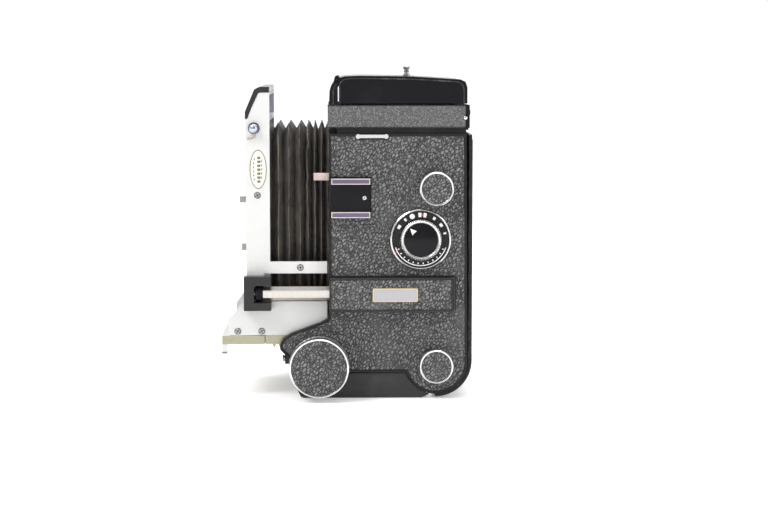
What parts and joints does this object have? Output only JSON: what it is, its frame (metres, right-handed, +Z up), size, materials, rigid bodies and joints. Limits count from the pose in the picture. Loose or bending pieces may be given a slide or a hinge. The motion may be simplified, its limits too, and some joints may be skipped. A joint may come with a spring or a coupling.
{
  "type": "twin lens reflex camera",
  "caption": "Roll film twin lens reflex camera with a bellows front on a rack and pinion, a folding hood and a hinged back.",
  "frame": {"origin": "centre of the tripod thread where it meets the base", "axes": "+Z up, -X towards the lenses, -Y the side with the focusing scale"},
  "size_m": [0.1316, 0.116, 0.173],
  "materials": {
    "black_casting": "matt black paint",
    "black_enamel": "gloss",
    "leatherette": "grained",
    "chrome": "satin",
    "satin_enamel": "satin",
    "steel": "satin",
    "brass": "tarnished",
    "rod_silver": "satin",
    "lens_black": "satin black",
    "glass": "coated",
    "mirror": "polished",
    "spool_plastic": "matt",
    "bellows_leather": "worn",
    "cream": "satin"
  },
  "bodies": {
    "camera": {"body_casting": "black_casting", "left_side_panel": "black_enamel", "right_side_panel": "black_enamel", "left_leatherette": "leatherette", "right_leatherette": "leatherette", "front_apron": "black_casting", "base_plate": "black_enamel", "tripod_socket": "chrome", "accessory_shoe": "chrome", "scale_housing": "black_enamel", "scale_plate": "chrome", "index_tab": "cream", "strap_lugs": "chrome", "screen_frame": "black_casting", "focusing_screen": "glass", "reflex_mirror": "mirror", "hood_base": "leatherette", "hood_front_wall": "black_enamel", "dial_base_ring": "black_enamel", "hinge_pin": "chrome"},
    "standard": {"standard_side_plates": "satin_enamel", "standard_frame": "black_casting", "standard_cap": "black_enamel", "focusing_bed": "brass", "focus_racks": "brass", "scale_bracket": "black_enamel", "plate_screws": "chrome", "lens_board": "lens_black", "viewing_lens": "lens_black", "taking_lens": "lens_black", "lens_glasses": "glass", "bellows": "bellows_leather"},
    "focus_drive": {"focus_shaft": "steel", "left_focus_knob": "chrome", "right_focus_knob": "chrome"},
    "distance_rod": {"scale_rod": "rod_silver"},
    "shutter_speed_ring": {"speed_ring": "chrome"},
    "aperture": {"aperture_lever": "steel"},
    "cocking": {"cocking_lever": "steel"},
    "bail": {"wire_bail": "chrome"},
    "lock_dial": {"lens_lock_dial": "chrome"},
    "baffle": {"light_baffle": "black_casting"},
    "lower_roller": {"film_roller_lower": "steel"},
    "upper_roller": {"film_roller_upper": "steel"},
    "supply": {"supply_spool": "spool_plastic"},
    "take_up": {"take_up_spool": "spool_plastic"},
    "lower_knob": {"lower_spool_knob": "chrome"},
    "upper_knob": {"upper_spool_knob": "chrome"},
    "crank": {"winding_crank": "chrome"},
    "crank_grip": {"crank_handle": "black_enamel"},
    "release": {"shutter_button": "steel"},
    "door": {"back_door": "leatherette", "pressure_plate": "steel"},
    "latch": {"back_latch": "black_enamel"},
    "lid": {"hood_lid": "black_enamel"},
    "stud": {"lid_stud": "chrome"},
    "left_flap": {"left_hood_flap": "black_enamel"},
    "right_flap": {"right_hood_flap": "black_enamel"},
    "rear_flap": {"rear_hood_flap": "black_enamel"},
    "loupe": {"magnifier": "black_enamel"}
  },
  "joints": [
    {"name": "focus_slide", "type": "slide", "parent": "camera", "child": "standard", "axis": [1, 0, 0], "range_m": [-0.025, 0.025], "deforming": ["bellows"]},
    {"name": "focus_turn", "type": "hinge", "parent": "camera", "child": "focus_drive", "pos_m": [-0.0224, 0, 0.018], "axis": [0, 1, 0], "range_deg": [-159.2, 159.2]},
    {"name": "distance_rod_turn", "type": "hinge", "parent": "standard", "child": "distance_rod", "pos_m": [-0.051, -0.0415, 0.0551], "axis": [1, 0, 0], "continuous": true},
    {"name": "speed_ring_turn", "type": "hinge", "parent": "standard", "child": "shutter_speed_ring", "pos_m": [-0.0588, 0, 0.064], "axis": [1, 0, 0], "range_deg": [-60, 60]},
    {"name": "aperture_turn", "type": "hinge", "parent": "standard", "child": "aperture", "pos_m": [-0.0567, 0, 0.064], "axis": [1, 0, 0], "range_deg": [-35, 20]},
    {"name": "cocking_turn", "type": "hinge", "parent": "standard", "child": "cocking", "pos_m": [-0.057, -0.027, 0.097], "axis": [1, 0, 0], "range_deg": [0, 35]},
    {"name": "bail_turn", "type": "hinge", "parent": "standard", "child": "bail", "pos_m": [-0.0559, 0, 0.1409], "axis": [0, 1, 0], "range_deg": [0, 80]},
    {"name": "lock_dial_turn", "type": "hinge", "parent": "camera", "child": "lock_dial", "pos_m": [0.0304, -0.045, 0.0835], "axis": [0, 1, 0], "range_deg": [0, 90]},
    {"name": "baffle_turn", "type": "hinge", "parent": "camera", "child": "baffle", "pos_m": [0.036, 0, 0.0366], "axis": [0, 1, 0], "range_deg": [0, 80]},
    {"name": "winding_crank_turn", "type": "hinge", "parent": "camera", "child": "crank", "pos_m": [0.0385, 0.045, 0.11], "axis": [0, 1, 0], "continuous": true},
    {"name": "take_up_turn", "type": "hinge", "parent": "camera", "child": "take_up", "pos_m": [0.0385, 0, 0.11], "axis": [0, 1, 0], "continuous": true},
    {"name": "supply_turn", "type": "hinge", "parent": "camera", "child": "supply", "pos_m": [0.0385, 0, 0.0175], "axis": [0, 1, 0], "continuous": true},
    {"name": "lower_roller_turn", "type": "hinge", "parent": "camera", "child": "lower_roller", "pos_m": [0.0435, 0, 0.0322], "axis": [0, 1, 0], "continuous": true},
    {"name": "upper_roller_turn", "type": "hinge", "parent": "camera", "child": "upper_roller", "pos_m": [0.0435, 0, 0.0955], "axis": [0, 1, 0], "continuous": true},
    {"name": "crank_handle_fold", "type": "hinge", "parent": "crank", "child": "crank_grip", "pos_m": [0.0145, 0.0525, 0.11], "axis": [0, 0, 1], "range_deg": [0, 90]},
    {"name": "lower_knob_pull", "type": "slide", "parent": "camera", "child": "lower_knob", "axis": [0, -1, 0], "range_m": [0, 0.006]},
    {"name": "upper_knob_pull", "type": "slide", "parent": "camera", "child": "upper_knob", "axis": [0, -1, 0], "range_m": [0, 0.006]},
    {"name": "release_press", "type": "slide", "parent": "camera", "child": "release", "axis": [1, 0, 0], "range_m": [0, 0.002], "stiffness_N_per_m": 200},
    {"name": "door_swing", "type": "hinge", "parent": "camera", "child": "door", "pos_m": [0.0356, 0, 0.001], "axis": [0, 1, 0], "range_deg": [0, 100]},
    {"name": "latch_lift", "type": "slide", "parent": "camera", "child": "latch", "axis": [0, 0, 1], "range_m": [0, 0.0015]},
    {"name": "lid_swing", "type": "hinge", "parent": "camera", "child": "lid", "pos_m": [-0.0125, 0, 0.1656], "axis": [0, -1, 0], "range_deg": [0, 90]},
    {"name": "left_flap_swing", "type": "hinge", "parent": "camera", "child": "left_flap", "pos_m": [0.02, -0.0365, 0.155], "axis": [1, 0, 0], "range_deg": [0, 90]},
    {"name": "right_flap_swing", "type": "hinge", "parent": "camera", "child": "right_flap", "pos_m": [0.02, 0.0365, 0.155], "axis": [-1, 0, 0], "range_deg": [0, 90]},
    {"name": "rear_flap_swing", "type": "hinge", "parent": "camera", "child": "rear_flap", "pos_m": [0.05, 0, 0.1574], "axis": [0, 1, 0], "range_deg": [0, 90]},
    {"name": "magnifier_swing", "type": "hinge", "parent": "lid", "child": "loupe", "pos_m": [0.016, 0, 0.1615], "axis": [0, -1, 0], "range_deg": [-90, 0]},
    {"name": "stud_press", "type": "slide", "parent": "lid", "child": "stud", "axis": [0, 0, -1], "range_m": [0, 0.0015], "stiffness_N_per_m": 200}
  ],
  "couplings": [
    {"joint": "focus_turn", "follows": "focus_slide", "rad_per_m": 111.11},
    {"joint": "baffle_turn", "follows": "lock_dial_turn", "ratio": 0.88889},
    {"joint": "take_up_turn", "follows": "winding_crank_turn", "ratio": 1},
    {"joint": "supply_turn", "follows": "winding_crank_turn", "ratio": 1},
    {"joint": "lower_roller_turn", "follows": "winding_crank_turn", "ratio": 2.5},
    {"joint": "upper_roller_turn", "follows": "winding_crank_turn", "ratio": 2.5},
    {"joint": "left_flap_swing", "follows": "lid_swing", "ratio": 1},
    {"joint": "right_flap_swing", "follows": "lid_swing", "ratio": 1},
    {"joint": "rear_flap_swing", "follows": "lid_swing", "ratio": 1},
    {"joint": "magnifier_swing", "follows": "lid_swing", "ratio": -1}
  ]
}
